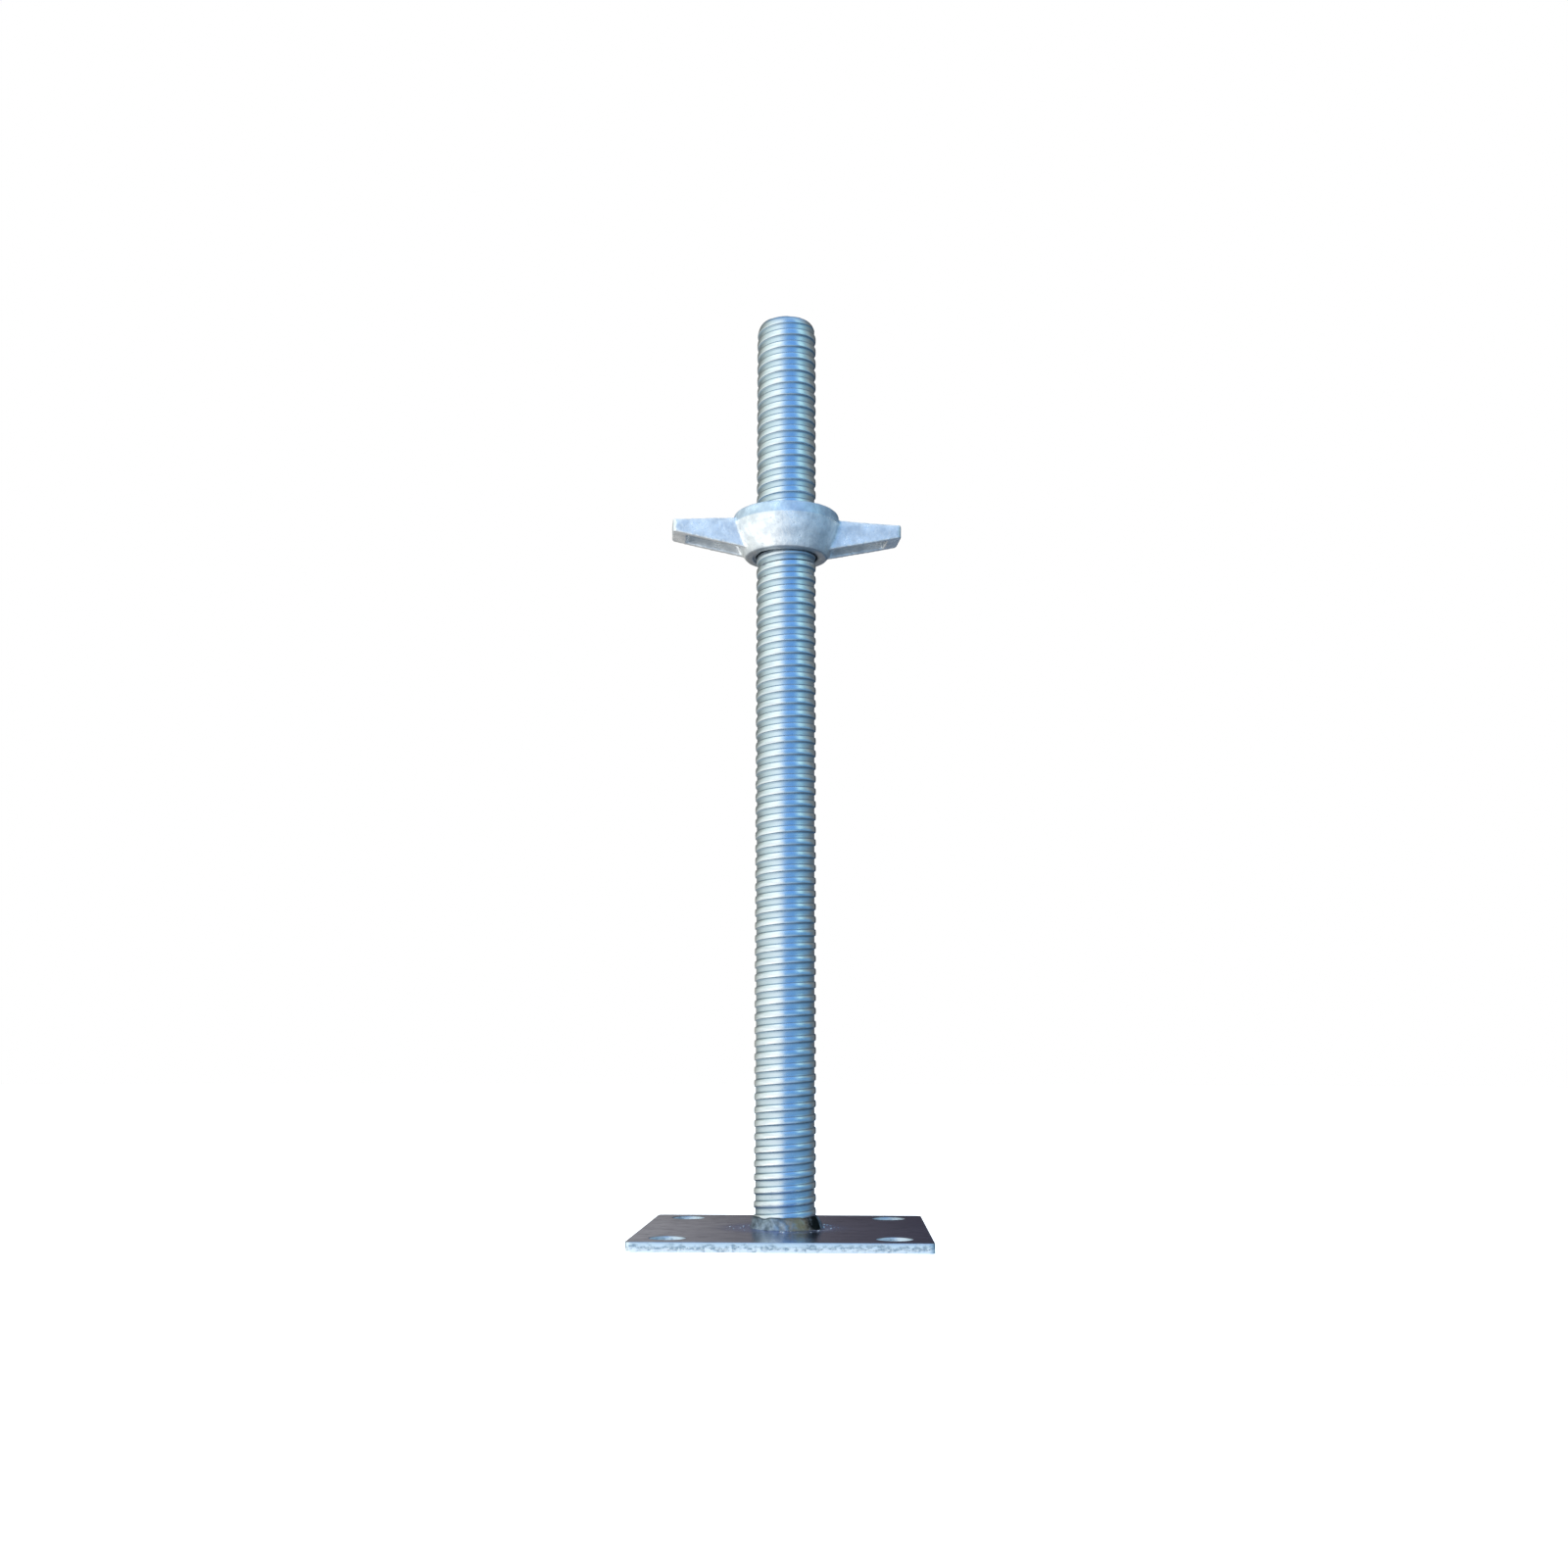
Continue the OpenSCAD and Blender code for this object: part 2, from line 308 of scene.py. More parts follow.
    # the plain wall: a second grid from ring to ring, whose end rows lie on the skin's ends
    plain = addNode(tree, "GeometryNodeMeshGrid", {
        "Size X": 1.0,
        "Size Y": 1.0,
        "Vertices X": plus(given["Sides"], 1.0),
        "Vertices Y": plus(given["Wall Rows"], 1.0),
    })
    wallRow = times(up, given["Wall Rows"])
    isFirst = mathNode(tree, "LESS_THAN", wallRow, 0.5)
    isLast = mathNode(tree, "GREATER_THAN", wallRow, minus(given["Wall Rows"], 0.5))
    isEnd = mathNode(tree, "MAXIMUM", isFirst, isLast)
    share = mathNode(tree, "DIVIDE", minus(wallRow, 1.0), minus(given["Wall Rows"], 2.0), clamp=True)
    wallZ = plus(given["Low"], times(length, share))
    endThread = profileAt(wallZ, around)[0]
    isTop = mathNode(tree, "GREATER_THAN", share, 0.5)
    endNose = minus(given["Crest Radius"], times(isTop, given["Nose Inset"]))
    endRadius = mathNode(tree, "MINIMUM", endThread, endNose)
    wallRadius = plus(times(isEnd, endRadius), times(minus(1.0, isEnd), given["Wall Radius"]))
    wallPlace = addNode(tree, "ShaderNodeCombineXYZ", {
        0: times(wallRadius, cosine), 1: times(wallRadius, sine), 2: wallZ})
    wall = addNode(tree, "GeometryNodeSetPosition", {
        "Geometry": plain.outputs["Mesh"], "Position": wallPlace})
    turned = addNode(tree, "GeometryNodeFlipFaces", {"Mesh": wall})
    both = tree.nodes.new("GeometryNodeJoinGeometry")
    tree.links.new(skin.outputs[0], both.inputs[0])
    tree.links.new(turned.outputs[0], both.inputs[0])
    closed = addNode(tree, "GeometryNodeMergeByDistance", {"Geometry": both, "Distance": 0.002 * mm})
    return endTree(tree, closed, given["Material"])


def endTree(tree, geometry, material):
    smooth = addNode(tree, "GeometryNodeSetShadeSmooth", {"Geometry": geometry, "Shade Smooth": True})
    real = addNode(tree, "GeometryNodeRealizeInstances", {"Geometry": smooth})
    done = addNode(tree, "GeometryNodeSetMaterial", {"Geometry": real, "Material": material})
    tree.links.new(done.outputs[0], tree.nodes.new("NodeGroupOutput").inputs[0])
    return tree


def addPiece(name, mesh):
    mesh.name = name
    piece = bpy.data.objects.new(name, mesh)
    scene.collection.objects.link(piece)
    return piece


def meshOf(holder):
    # the object with its modifiers run, as a plain mesh
    graph = bpy.context.evaluated_depsgraph_get()
    mesh = bpy.data.meshes.new_from_object(
        holder.evaluated_get(graph), preserve_all_data_layers=True, depsgraph=graph)
    holder.modifiers.clear()
    bpy.data.objects.remove(holder)
    return mesh


def pieceFromTree(name, tree, values):
    # an input that values doesn't name keeps the tree's own value
    holder = addPiece(name + "Maker", bpy.data.meshes.new(name + "Maker"))
    maker = holder.modifiers.new("maker", "NODES")
    maker.node_group = tree
    for item in tree.interface.items_tree:
        if item.in_out == "INPUT" and item.name in values:
            maker[item.identifier] = values[item.name]
    return addPiece(name, meshOf(holder))


def zincThread(values):
    # bright zinc plating: rolling marks run round the screw; the grooves and flanks carry painted shade,
    # and are rougher
    material, tree, shader, coords = newMaterial("zincThread")
    groove = attributeNode(tree, "groove")
    corner = attributeNode(tree, "corner")
    streaks = cloudNode(tree, coords, 9 * mm, stretch=(1, 1, 9))
    blotches = cloudNode(tree, coords, 16 * mm)
    grain = cloudNode(tree, coords, 1.1 * mm, stretch=(1, 1, 4), detail=2.0)
    bright = mixColour(tree, mapRange(tree, streaks, 0.35, 0.65), *values["colours"])
    # painted shade: the grooves are darker than the crests
    sunk = mixColour(tree, mapRange(tree, groove, 0.2, 1.0, 0.0, 0.55), bright, values["grooveShadeColour"])
    # painted shade: the flanks and their feet are darkened
    shaded = mixColour(tree, mapRange(tree, corner, 0.0, 1.0, 0.0, 0.8), sunk, values["flankShadeColour"])
    plug(tree, shaded, shader.inputs["Base Color"])
    rough = mapRange(tree, blotches, 0.3, 0.7, 0.15, 0.25)
    flankRough = mapRange(tree, corner, 0, 1, 0, 0.2)
    grooveRough = mapRange(tree, groove, 0, 1, 0, 0.08)
    duller = mathNode(tree, "ADD", flankRough, grooveRough)
    plug(tree, mathNode(tree, "ADD", rough, duller), shader.inputs["Roughness"])
    marks = bumpNode(tree, streaks, 0.06 * mm)
    plug(tree, bumpNode(tree, grain, 0.015 * mm, marks), shader.inputs["Normal"])
    return material


threadedTube = threadTree("threadedTube", screwValues)
screw = pieceFromTree("screwTube", threadedTube, {
    "Low": tubeLow.z,
    "High": tubeHigh.z,
    "Crown": screwValues["crown"],
    "Nose Inset": screwValues["noseInset"],
    "Material": zincThread(screwValues),
})
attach(screw, "jack")
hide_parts("screw_tube")
print("screw:", len(screw.data.polygons), "faces")


# Wing nut: the solid's own form, with a casting's soft corners and sandy skin

nutValues = {
    "boreRadius": 16.8 * mm,
    "threadRoom": 1.1 * mm,  # how far the bore is widened for the thread laid in it
    "boreMargin": 0.3 * mm,  # only what lies further in than the widened bore by this is moved
    "rimHeight": 6.4 * mm,
    "voxel": 0.6 * mm,
    "smoothing": 2,
    "skinDepth": 0.09 * mm,
    "skinSize": 3.2 * mm,
    "sagDepth": 0.2 * mm,
    "sagSize": 17 * mm,
    "threadSetBack": 0.7 * mm,
    "threadDepth": 0.9 * mm,
    "threadWall": 0.6 * mm,  # how deep the thread's plain side is buried in the casting
    "threadWallRows": 4,
    "mouthWidth": 3 * mm,  # of the ring of painted shade round the bore
    "colours": ((0.66, 0.68, 0.70, 1), (0.95, 0.95, 0.94, 1)),
    # painted shade on the rim
    "rimShadeTint": (0.70, 0.82, 0.94, 1),
    # painted shade at the mouth and foot
    "footShadeTint": (0.38, 0.42, 0.46, 1),
    "pitColour": (0.40, 0.42, 0.44, 1),
}


def castZinc(values):
    # satin zinc over a sand casting: softly mottled, with a few shallow pits
    material, tree, shader, coords = newMaterial("castZinc", metallic=0.5)
    blotches = cloudNode(tree, coords, 7 * mm, detail=6.0, rough=0.6)
    sand = cloudNode(tree, coords, 2.4 * mm, detail=4.0, rough=0.6)
    grain = cloudNode(tree, coords, 0.6 * mm, detail=2.0)
    base = mixColour(tree, mapRange(tree, blotches, 0.38, 0.62), *values["colours"])
    axes = addNode(tree, "ShaderNodeSeparateXYZ", {0: coords})
    height = axes.outputs[2]
    radius = fromAxis(tree, axes)
    # painted shade: the rim is tinted darker and bluer than the cone under it
    rimRadius = nutHigh.y
    rimFoot = nutHigh.z - values["rimHeight"]
    onRim = mapRange(tree, height, rimFoot - 0.3 * mm, rimFoot + 0.3 * mm, smooth=True)
    inside = mapRange(tree, radius, rimRadius + 0.5 * mm, rimRadius + 1.5 * mm, 1.0, 0.0, smooth=True)
    base = mixColour(tree, multiply(tree, onRim, inside), base, values["rimShadeTint"], "MULTIPLY")
    # painted shade: the lower mouth and the foot are darkened
    mouthRadius = values["boreRadius"] + values["mouthWidth"]
    inMouth = mapRange(tree, radius, mouthRadius, mouthRadius - 1.2 * mm, smooth=True)
    atFoot = mapRange(tree, height, nutLow.z + 4 * mm, nutLow.z + 2 * mm, smooth=True)
    onFoot = mapRange(tree, height, nutLow.z + 1 * mm, nutLow.z + 0.4 * mm, 0.0, 0.8, smooth=True)
    footShade = mathNode(tree, "MAXIMUM", multiply(tree, inMouth, atFoot), onFoot)
    base = mixColour(tree, footShade, base, values["footShadeTint"], "MULTIPLY")
    pits = mapRange(tree, sand, 0.28, 0.38, 0.5, 0.0)
    plug(tree, mixColour(tree, pits, base, values["pitColour"]), shader.inputs["Base Color"])
    plug(tree, mapRange(tree, blotches, 0.3, 0.7, 0.36, 0.25), shader.inputs["Roughness"])
    lumps = bumpNode(tree, sand, 0.3 * mm)
    plug(tree, bumpNode(tree, grain, 0.04 * mm, lumps), shader.inputs["Normal"])
    return material


def makeCasting(values, material):
    # the bore is widened, the corners are softened, and the skin is only ever pushed inwards
    body = bmesh.new()
    body.from_mesh(frame["nodes"]["wing_nut"].data)
    bmesh.ops.remove_doubles(body, verts=body.verts, dist=0.005 * mm)
    widened = values["boreRadius"] + values["threadRoom"]
    for vert in body.verts:
        radius = math.hypot(vert.co.x, vert.co.y)
        if radius < widened - values["boreMargin"]:
            vert.co.xy *= widened / radius
    mesh = bpy.data.meshes.new("casting")
    body.to_mesh(mesh)
    body.free()
    holder = addPiece("castingMaker", mesh)
    remesh = holder.modifiers.new("remesh", "REMESH")
    remesh.mode = "VOXEL"
    remesh.voxel_size = values["voxel"]
    smooth = holder.modifiers.new("smooth", "SMOOTH")
    smooth.factor = 0.5
    smooth.iterations = values["smoothing"]
    mesh = meshOf(holder)
    normals = [vert.normal.copy() for vert in mesh.vertices]
    for vert, normal in zip(mesh.vertices, normals):
        skin = noise.noise(vert.co / values["skinSize"]) - 0.6
        sag = noise.noise(vert.co / values["sagSize"] + Vector((3, 7, 5))) - 0.5
        inward = values["skinDepth"] * skin + values["sagDepth"] * sag
        vert.co += normal * min(inward, 0)
    mesh.polygons.foreach_set("use_smooth", [True] * len(mesh.polygons))
    mesh.materials.clear()
    mesh.materials.append(material)
    return addPiece("wingNut", mesh)


def faceOutwards(piece):
    shell = bmesh.new()
    shell.from_mesh(piece.data)
    bmesh.ops.recalc_face_normals(shell, faces=shell.faces)
    shell.to_mesh(piece.data)
    shell.free()


nutMaterial = castZinc(nutValues)
wingNut = makeCasting(nutValues, nutMaterial)
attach(wingNut, "nut")
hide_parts("wing_nut")

# the nut's thread is cut outwards from its bore, so that it clears the screw at every height
nutThread = pieceFromTree("nutThread", threadedTube, {
    "Low": nutLow.z + nutValues["threadSetBack"],
    "High": nutHigh.z - nutValues["threadSetBack"],
    "Crest Radius": nutValues["boreRadius"] + nutValues["threadDepth"],
    "Thread Depth": nutValues["threadDepth"],
    "Wall Radius": nutValues["boreRadius"] + nutValues["threadRoom"] + nutValues["threadWall"],
    "Wall Rows": nutValues["threadWallRows"],
    "Material": nutMaterial,
})
faceOutwards(nutThread)
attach(nutThread, "nut")
print("nut:", len(wingNut.data.polygons), "faces, its thread:", len(nutThread.data.polygons))


# Base plate: sheared from dull plated sheet, with punched holes

plateValues = {
    "cornerRadius": 3 * mm,
    "edgeStep": 0.8 * mm,
    "cornerSteps": 8,
    "holeSteps": 72,
    "rollover": 0.45 * mm,
    "tearDepth": 0.16 * mm,
    "tearLength": 1.3 * mm,  # along the edge
    "tearHeight": 2.4 * mm,
    "tornHeights": (0.12, 0.24, 0.36, 0.48, 0.6, 0.72),  # of the thickness
    "rolloverAngles": (20, 40, 60, 80, 90),
    # heights at which the edge's tears start, are full, start to fade and are gone
    "tornBand": (0.3 * mm, 1.6 * mm, 2.8 * mm, 4.4 * mm),
    "heatedReach": (6 * mm, 24 * mm),  # from the screw, where it starts to fade and is gone
    "farSide": (-10 * mm, 70 * mm),  # along Y, where it starts and where it is full
    "faceColours": ((0.40, 0.41, 0.46, 1), (0.56, 0.57, 0.62, 1)),
    "glancingTint": (0.85, 0.88, 1.0, 1),
    "stainColour": (0.20, 0.20, 0.23, 1),
    "heatedColour": (0.62, 0.62, 0.86, 1),
    "farTint": (0.66, 0.66, 0.68, 1),
    # painted light on the sheared edge, from its foot to its top
    "edgeLightColours": ((0.95, 0.97, 0.97, 1), (0.74, 0.84, 0.90, 1)),
    "tornColour": (0.30, 0.42, 0.52, 1),
    "warmColour": (0.36, 0.36, 0.22, 1),
}
# burnt patch beside the weld, on the plate and on the bead
burnValues = {
    "centre": (17 * mm, -9 * mm, 10 * mm),
    "radius": 10.5 * mm,
    "core": 0.4,  # how much of the radius is wholly black
    "tintCentre": (9 * mm, -17 * mm, 8 * mm),
    "tintRadius": 13 * mm,
    "tintCore": 0.05,
    "ragged": 6 * mm,
    "sootColour": (0.012, 0.014, 0.013, 1),
    "sootRoughness": 0.85,
}


def burnMasks(tree, coords, values):
    # how much of a point is soot, and how much is heat tint
    clouds = cloudNode(tree, coords, 4 * mm, detail=6.0, rough=0.65)
    ragged = mapRange(tree, clouds, 0, 1, -values["ragged"], values["ragged"])

    def nearness(centre, radius, core):
        away = addNode(tree, "ShaderNodeVectorMath", {0: coords, 1: centre}, operation="DISTANCE")
        spread = mathNode(tree, "ADD", away.outputs["Value"], ragged)
        return mapRange(tree, spread, radius, core * radius, smooth=True)

    soot = nearness(values["centre"], values["radius"], values["core"])
    return soot, nearness(values["tintCentre"], values["tintRadius"], values["tintCore"])


def finishWithSoot(tree, shader, soot, colour, rough, metallic, values):
    # soot is black, rough and no metal
    clean = mathNode(tree, "SUBTRACT", 1.0, soot)
    sootRough = multiply(tree, soot, values["sootRoughness"])
    plug(tree, mixColour(tree, soot, colour, values["sootColour"]), shader.inputs["Base Color"])
    plug(tree, mathNode(tree, "MAXIMUM", rough, sootRough), shader.inputs["Roughness"])
    plug(tree, multiply(tree, clean, metallic), shader.inputs["Metallic"])
    plug(tree, multiply(tree, clean, 0.5), shader.inputs["Specular IOR Level"])


def zincPlate(values):
    # dull plating on the faces, bright metal with darker tears on the sheared edges
    material, tree, shader, coords = newMaterial("zincPlate")
    sheared = attributeNode(tree, "sheared")
    axes = addNode(tree, "ShaderNodeSeparateXYZ", {0: coords})
    height = axes.outputs[2]
    streaks = cloudNode(tree, coords, 26 * mm, stretch=(1, 3.5, 1), detail=5.0)
    stains = cloudNode(tree, coords, 7 * mm, detail=5.0)
    tears = cloudNode(tree, coords, 1.2 * mm, stretch=(0.6, 0.6, 1.2), detail=4.0, rough=0.7)
    face = mixColour(tree, mapRange(tree, streaks, 0.35, 0.65), *values["faceColours"])
    face = mixColour(tree, mapRange(tree, stains, 0.52, 0.72, 0.0, 0.6), face, values["stainColour"])
    # the weld's heat has left the plate round it rougher and faintly violet
    full, gone = values["heatedReach"]
    heated = mapRange(tree, fromAxis(tree, axes), crestRadius + gone, crestRadius + full, smooth=True)
    face = mixColour(tree, multiply(tree, heated, 0.6), face, values["heatedColour"])
    # the far side is darker
    far = mapRange(tree, axes.outputs[1], *values["farSide"], smooth=True)
    face = mixColour(tree, far, face, values["farTint"], "MULTIPLY")
    # the tears lie in a band that wanders up and down the edge
    wander = mapRange(tree, cloudNode(tree, coords, 5 * mm), 0.3, 0.7, -1.3 * mm, 1.3 * mm)
    wandering = mathNode(tree, "ADD", height, wander)
    starting, fullFrom, fullTo, ending = values["tornBand"]
    lower = mapRange(tree, wandering, starting, fullFrom, smooth=True)
    upper = mapRange(tree, wandering, ending, fullTo, smooth=True)
    middle = multiply(tree, lower, upper)
    torn = multiply(tree, mapRange(tree, tears, 0.45, 0.62), middle)
    # painted light: the sheared edge is whiter at its foot and bluer at its top
    rise = mapRange(tree, height, 1.2 * mm, 3.6 * mm, smooth=True)
    whole = mixColour(tree, rise, *values["edgeLightColours"])
    edge = mixColour(tree, multiply(tree, torn, 0.9), whole, values["tornColour"])
    both = mixColour(tree, sheared, face, edge)
    soot, tint = burnMasks(tree, coords, burnValues)
    warm = mixColour(tree, multiply(tree, tint, 0.2), both, values["warmColour"])
    # seen along its face, the plate mirrors darkly and with a blue tint
    shader.inputs["Specular Tint"].default_value = values["glancingTint"]
    polish = mapRange(tree, stains, 0.3, 0.7, 0.13, 0.2)
    flat = mathNode(tree, "ADD", polish, multiply(tree, heated, 0.16))
    rough = addNode(tree, "ShaderNodeMix", {0: sheared, 2: flat, 3: 0.5}).outputs[0]
    metallic = mapRange(tree, sheared, 0, 1, 1.0, 0.55)
    finishWithSoot(tree, shader, soot, warm, rough, metallic, burnValues)
    pitted = cloudNode(tree, coords, 1.2 * mm, detail=3.0)
    relief = bumpNode(tree, pitted, 0.012 * mm)
    depth = multiply(tree, torn, -1.0)
    plug(tree, bumpNode(tree, depth, 0.25 * mm, relief), shader.inputs["Normal"])
    return material


def roundedSquare(values, half):
    # points round the outline, counter-clockwise, with the outward direction at each
    radius = values["cornerRadius"]
    flat = half - radius
    steps = round(2 * flat / values["edgeStep"])
    points = []
    for quarter in range(4):
        turn = quarter * math.pi / 2
        for i in range(steps):
            along = -flat + 2 * flat * i / steps
            points.append((Vector((half, along, 0)), Vector((1, 0, 0)), turn))
        for i in range(values["cornerSteps"]):
            bend = math.pi / 2 * i / values["cornerSteps"]
            out = Vector((math.cos(bend), math.sin(bend), 0))
            points.append((Vector((flat, flat, 0)) + out * radius, out, turn))
    spots = []
    for place, out, turn in points:
        cosine, sine = math.cos(turn), math.sin(turn)
        spots.append((
            Vector((place.x * cosine - place.y * sine, place.x * sine + place.y * cosine, 0)),
            Vector((out.x * cosine - out.y * sine, out.x * sine + out.y * cosine, 0)),
        ))
    return spots


def edgeRows(values, thickness):
    # height, how far the wall stands back, and how torn it is, from the underside up
    roll = values["rollover"]
    rows = [(0.0, 0.10 * roll, 0.0), (0.1 * roll, 0.0, 0.6)]
    rows += [(thickness * share, 0.0, 1.0) for share in values["tornHeights"]]
    rows += [(thickness - roll * 1.6, 0.0, 0.4)]
    for bend in values["rolloverAngles"]:
        turn = math.radians(bend)
        height = thickness - roll * (1 - math.sin(turn))
        rows.append((height, roll * (1 - math.cos(turn)), 0.3 - bend / 300))
    return rows


def makePlate(values, material):
    plate = bmesh.new()
    layer = plate.verts.layers.float.new("sheared")
    thickness = plateHigh.z - plateLow.z
    rows = edgeRows(values, thickness)

    def wall(spots, inward):
        # rings of vertices up a wall, joined by faces, with the lowest and highest ring returned
        rings = []
        for height, back, torn in rows:
            ring = []
            for place, out in spots:
                grainPlace = place / values["tearLength"]
                grainPlace.z = height / values["tearHeight"]
                tear = values["tearDepth"] * torn * (0.5 + 0.5 * noise.noise(grainPlace))
                vert = plate.verts.new(place - out * (back + tear) + Vector((0, 0, plateLow.z + height)))
                vert[layer] = min(1.0, torn * 2)
                ring.append(vert)
            rings.append(ring)
        for lower, upper in zip(rings, rings[1:]):
            for i in range(len(lower)):
                j = (i + 1) % len(lower)
                corners = (lower[i], lower[j], upper[j], upper[i])
                plate.faces.new(corners[::-1] if inward else corners).smooth = True
        return rings[0], rings[-1]

    loops = [wall(roundedSquare(values, plateHigh.x), False)]
    dims = mounts["plate_holes"]["dims"]
    for side in ((1, 1), (-1, 1), (-1, -1), (1, -1)):
        middle = Vector((side[0] * dims["spacing_x_mm"], side[1] * dims["spacing_y_mm"], 0)) * mm / 2
        spots = []
        for i in range(values["holeSteps"]):
            turn = 2 * math.pi * i / values["holeSteps"]
            out = Vector((math.cos(turn), math.sin(turn), 0))
            spots.append((middle + out * dims["hole_r_mm"] * mm, -out))
        loops.append(wall(spots, True))
    # the underside and the top, each filled between the outline and the holes
    for end in (0, 1):
        edges = []
        for loop in loops:
            ring = loop[end]
            for i in range(len(ring)):
                pair = (ring[i], ring[(i + 1) % len(ring)])
                edges.append(plate.edges.get(pair))
        plate.normal_update()
        up = Vector((0, 0, 1 if end else -1))
        made = bmesh.ops.triangle_fill(plate, use_beauty=True, edges=edges, normal=up)
        for item in made["geom"]:
            if isinstance(item, bmesh.types.BMFace):
                item.smooth = False
    mesh = bpy.data.meshes.new("basePlate")
    bmesh.ops.recalc_face_normals(plate, faces=plate.faces)
    plate.to_mesh(mesh)
    plate.free()
    mesh.materials.append(material)
    return addPiece("basePlate", mesh)


basePlate = makePlate(plateValues, zincPlate(plateValues))
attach(basePlate, "jack")
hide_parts("base_plate")
print("plate:", len(basePlate.data.polygons), "faces")


# Foot weld: one hand-laid bead with its ripples, and spatter round it

weldValues = {
    "width": 3.8 * mm,
    "roundness": 1.25,  # power of the bead's outline, of which 1 is a quarter of an ellipse
    "swell": 0.12,
    "swellWaves": ((0.6, 9, 0), (0.4, 4, 50)),  # share, waves round the tube, start in degrees
    "lean": 0.5,  # how much narrower the bead is on its left than on its right
    "columns": 320,
    "rows": 16,
    "ripples": 22,
    "rippleDepth": 0.12 * mm,
    "rippleSweep": 2.5,  # how far a ripple is swept aside on its way up, in half ripples
    "rippleWander": 9,  # how unevenly the ripples follow each other
    "lumpDepth": 1.0 * mm,
    "lumpSize": 3.4 * mm,
    "creaseStart": 0.72,  # painted shade: a dark crease along the top, of the way up from the plate
    "creaseSpan": 0.14,
    "innerRadius": 14.9 * mm,
    "colours": ((0.22, 0.26, 0.31, 1), (0.42, 0.48, 0.56, 1)),
    "valleyShadeColour": (0.09, 0.11, 0.12, 1),
    "warmColour": (0.52, 0.34, 0.16, 1),
    "spatter": 40,
    "spatterReach": 10 * mm,
    "spatterSize": 0.75 * mm,
    "spatterColours": ((0.50, 0.50, 0.52, 1), (0.85, 0.83, 0.86, 1)),
    "seed": 9,
}


def weldMetal(name, colours, values):
    # plated over unevenly: painted shade in the ripple valleys and along a crease at the top, and a burnt
    # patch
    material, tree, shader, coords = newMaterial(name)
    weldShade = attributeNode(tree, "weldShade")
    blotches = cloudNode(tree, coords, 4 * mm, detail=5.0)
    grain = cloudNode(tree, coords, 0.8 * mm, detail=3.0)
    base = mixColour(tree, mapRange(tree, blotches, 0.38, 0.62), *colours)
    shaded = mapRange(tree, weldShade, 0.35, 1.0, 0.0, 0.75)
    valley = mixColour(tree, shaded, base, values["valleyShadeColour"])
    soot, tint = burnMasks(tree, coords, burnValues)
    warm = mixColour(tree, multiply(tree, tint, 0.75), valley, values["warmColour"])
    rough = mapRange(tree, blotches, 0.3, 0.7, 0.6, 0.42)
    finishWithSoot(tree, shader, soot, warm, rough, 1.0, burnValues)
    lumps = bumpNode(tree, blotches, 0.5 * mm)
    plug(tree, bumpNode(tree, grain, 0.08 * mm, lumps), shader.inputs["Normal"])
    return material


def makeWeld(values, material):
    bead = bmesh.new()
    layer = bead.verts.layers.float.new("weldShade")
    height = weldHigh.z - weldLow.z
    rings = []
    for i in range(values["columns"]):
        turn = 2 * math.pi * i / values["columns"]
        cosine, sine = math.cos(turn), math.sin(turn)
        waves = sum(
            share * math.sin(count * turn + math.radians(start))
            for share, count, start in values["swellWaves"])
        swell = 1 + values["swell"] * waves
        lean = 1 - values["lean"] * (0.5 - 0.5 * cosine)
        wander = noise.noise(Vector((3 * cosine, 3 * sine, 0)))
        ring = []
        # from the plate up to the tube, each point sunk by its ripple and lump
        for j in range(values["rows"] + 1):
            climb = math.pi / 2 * j / values["rows"]
            width = values["width"] * lean * swell * math.cos(climb) ** values["roundness"]
            rise = height * min(1, swell) * math.sin(climb) ** values["roundness"]
            radius = crestRadius + width
            place = Vector((radius * cosine, radius * sine, weldLow.z + rise))
            out = Vector((cosine * math.cos(climb), sine * math.cos(climb), math.sin(climb)))
            sway = values["rippleSweep"] * math.sin(climb) ** 2 * math.pi
            sway += values["rippleWander"] * wander
            wave = 0.5 - 0.5 * math.cos(values["ripples"] * turn + sway)
            middle = math.sin(2 * climb) ** 0.5 if 0 < j < values["rows"] else 0
            lump = 0.5 - 0.5 * noise.noise(place / values["lumpSize"] + Vector((1, 4, 2)))
            sunk = middle * (values["rippleDepth"] * wave ** 2 + values["lumpDepth"] * lump)
            vert = bead.verts.new(place - out * sunk)
            crease = (j / values["rows"] - values["creaseStart"]) / values["creaseSpan"]
            # painted shade in the ripple valleys and along the crease at the top
            vert[layer] = max(wave * middle * 0.7, min(1, max(0, crease)))
            ring.append(vert)
        # the hidden side stands in the tube's wall
        inner = Vector((cosine, sine, 0)) * values["innerRadius"]
        ring.append(bead.verts.new(inner + Vector((0, 0, weldLow.z + height * 0.8))))
        ring.append(bead.verts.new(inner + Vector((0, 0, weldLow.z))))
        rings.append(ring)
    for i in range(len(rings)):
        here, there = rings[i], rings[(i + 1) % len(rings)]
        for j in range(len(here)):
            k = (j + 1) % len(here)
            bead.faces.new((here[j], there[j], there[k], here[k])).smooth = True
    bmesh.ops.recalc_face_normals(bead, faces=bead.faces)
    mesh = bpy.data.meshes.new("footWeld")
    bead.to_mesh(mesh)
    bead.free()
    mesh.materials.append(material)
    return addPiece("footWeld", mesh)


